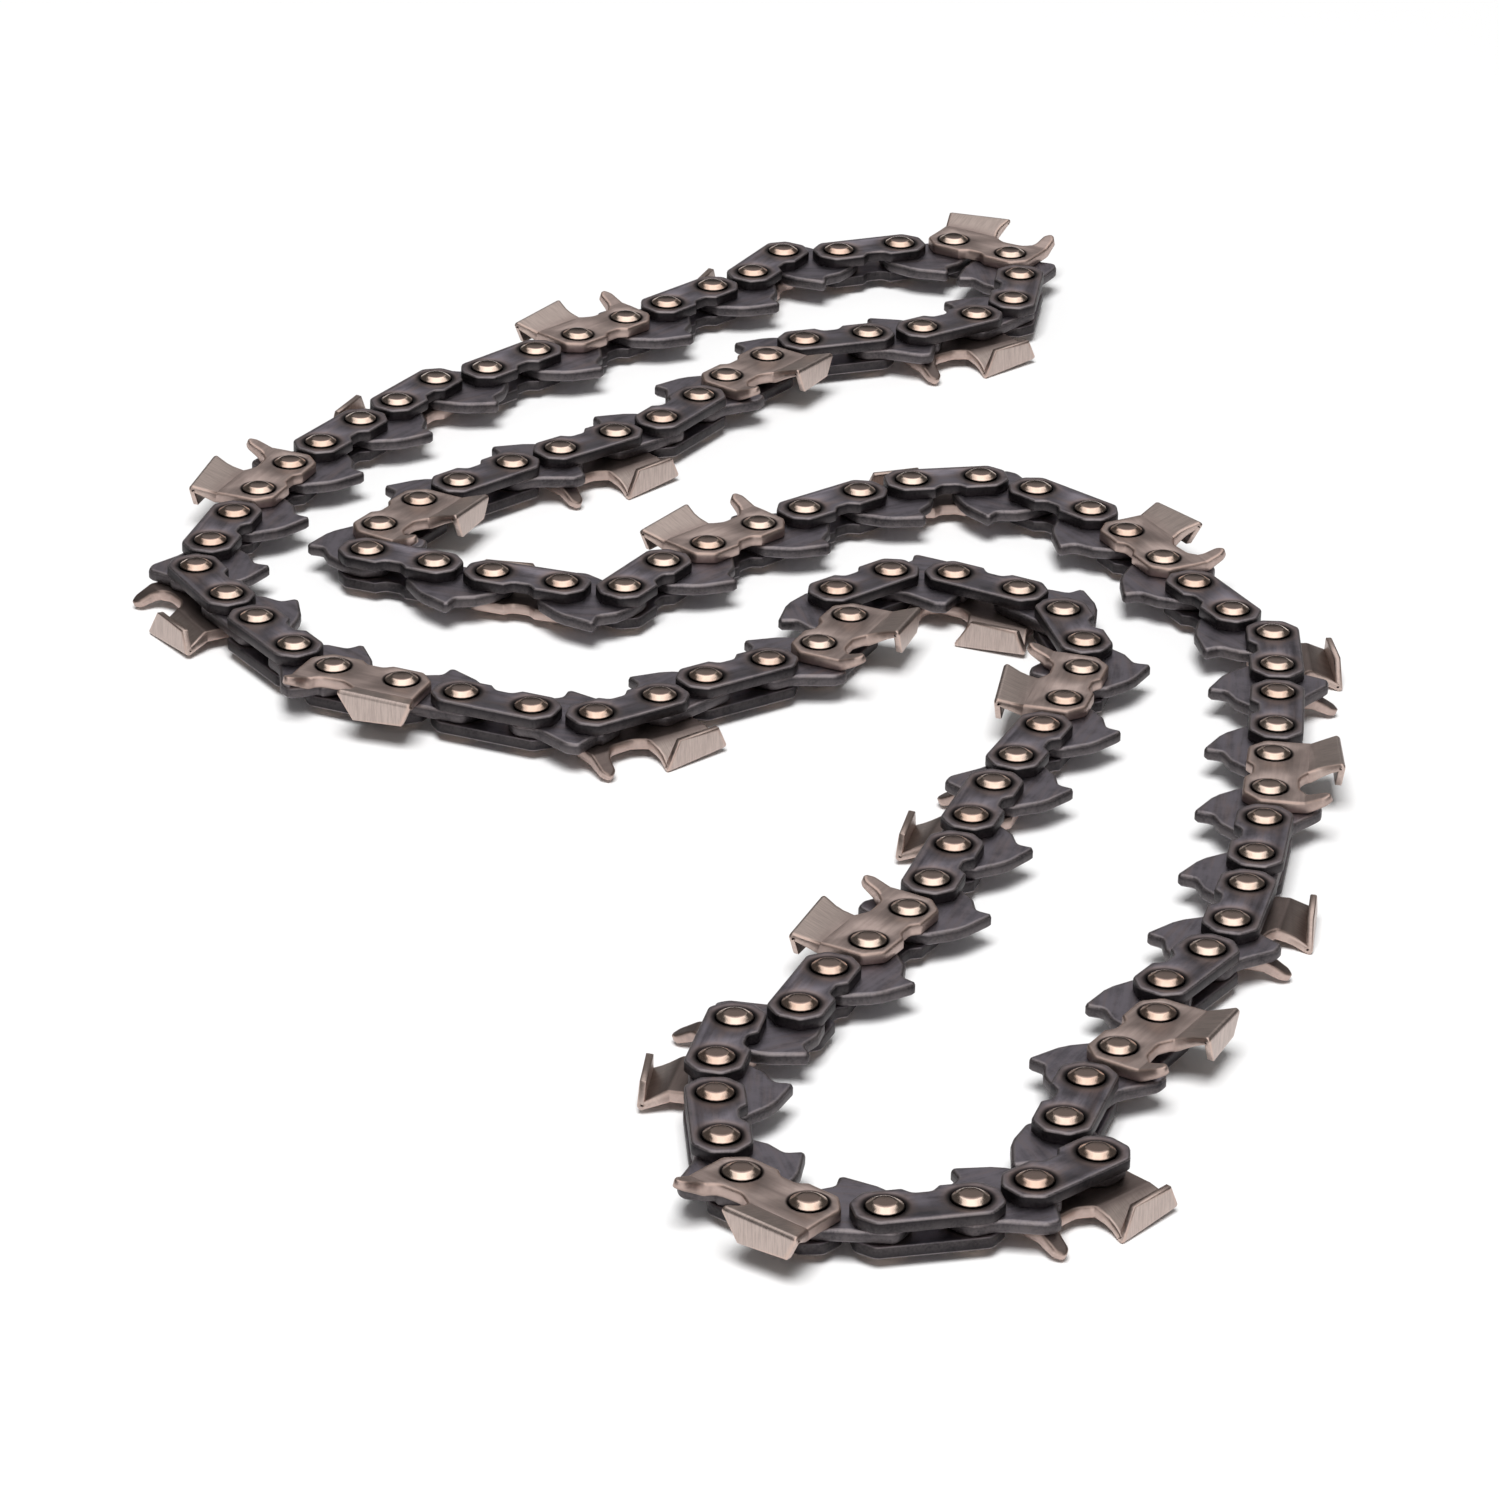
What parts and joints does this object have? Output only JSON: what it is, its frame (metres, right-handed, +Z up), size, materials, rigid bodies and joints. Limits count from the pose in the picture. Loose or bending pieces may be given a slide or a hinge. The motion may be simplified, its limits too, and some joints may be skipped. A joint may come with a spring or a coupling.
{
  "type": "saw chain loop",
  "caption": "Closed loop of chisel saw chain for a chainsaw, laid flat on its side in a loose S, with cutters, tie straps, hooked drive links and rivets.",
  "frame": {"origin": "middle of the laid loop's box, on the surface it lies on", "axes": "+Z up, across the chain's width; +Y along the lay's length, away from the viewer; +X to the viewer's right"},
  "size_m": [0.145, 0.2784, 0.0069],
  "materials": {
    "blued_steel": "dark blued, satin, with bare worn edges",
    "cutter_steel": "warm grey steel, top plate chromed",
    "rivet_steel": "tempered, copper coloured, smooth"
  },
  "bodies": {
    "root": {"right_cutter_01": "cutter_steel", "left_cutter_01": "cutter_steel", "tie_straps_01": "blued_steel", "drive_links_01": "blued_steel", "right_cutter_02": "cutter_steel", "left_cutter_02": "cutter_steel", "tie_straps_02": "blued_steel", "drive_links_02": "blued_steel", "right_cutter_03": "cutter_steel", "left_cutter_03": "cutter_steel", "tie_straps_03": "blued_steel", "drive_links_03": "blued_steel", "right_cutter_04": "cutter_steel", "left_cutter_04": "cutter_steel", "tie_straps_04": "blued_steel", "drive_links_04": "blued_steel", "right_cutter_05": "cutter_steel", "left_cutter_05": "cutter_steel", "tie_straps_05": "blued_steel", "drive_links_05": "blued_steel", "right_cutter_06": "cutter_steel", "left_cutter_06": "cutter_steel", "tie_straps_06": "blued_steel", "drive_links_06": "blued_steel", "right_cutter_07": "cutter_steel", "left_cutter_07": "cutter_steel", "tie_straps_07": "blued_steel", "drive_links_07": "blued_steel", "right_cutter_08": "cutter_steel", "left_cutter_08": "cutter_steel", "tie_straps_08": "blued_steel", "drive_links_08": "blued_steel", "right_cutter_09": "cutter_steel", "left_cutter_09": "cutter_steel", "tie_straps_09": "blued_steel", "drive_links_09": "blued_steel", "right_cutter_10": "cutter_steel", "left_cutter_10": "cutter_steel", "tie_straps_10": "blued_steel", "drive_links_10": "blued_steel", "right_cutter_11": "cutter_steel", "left_cutter_11": "cutter_steel", "tie_straps_11": "blued_steel", "drive_links_11": "blued_steel", "right_cutter_12": "cutter_steel", "left_cutter_12": "cutter_steel", "tie_straps_12": "blued_steel", "drive_links_12": "blued_steel", "right_cutter_13": "cutter_steel", "left_cutter_13": "cutter_steel", "tie_straps_13": "blued_steel", "drive_links_13": "blued_steel", "right_cutter_14": "cutter_steel", "left_cutter_14": "cutter_steel", "tie_straps_14": "blued_steel", "drive_links_14": "blued_steel", "rivet_heads": "rivet_steel"}
  },
  "joints": []
}
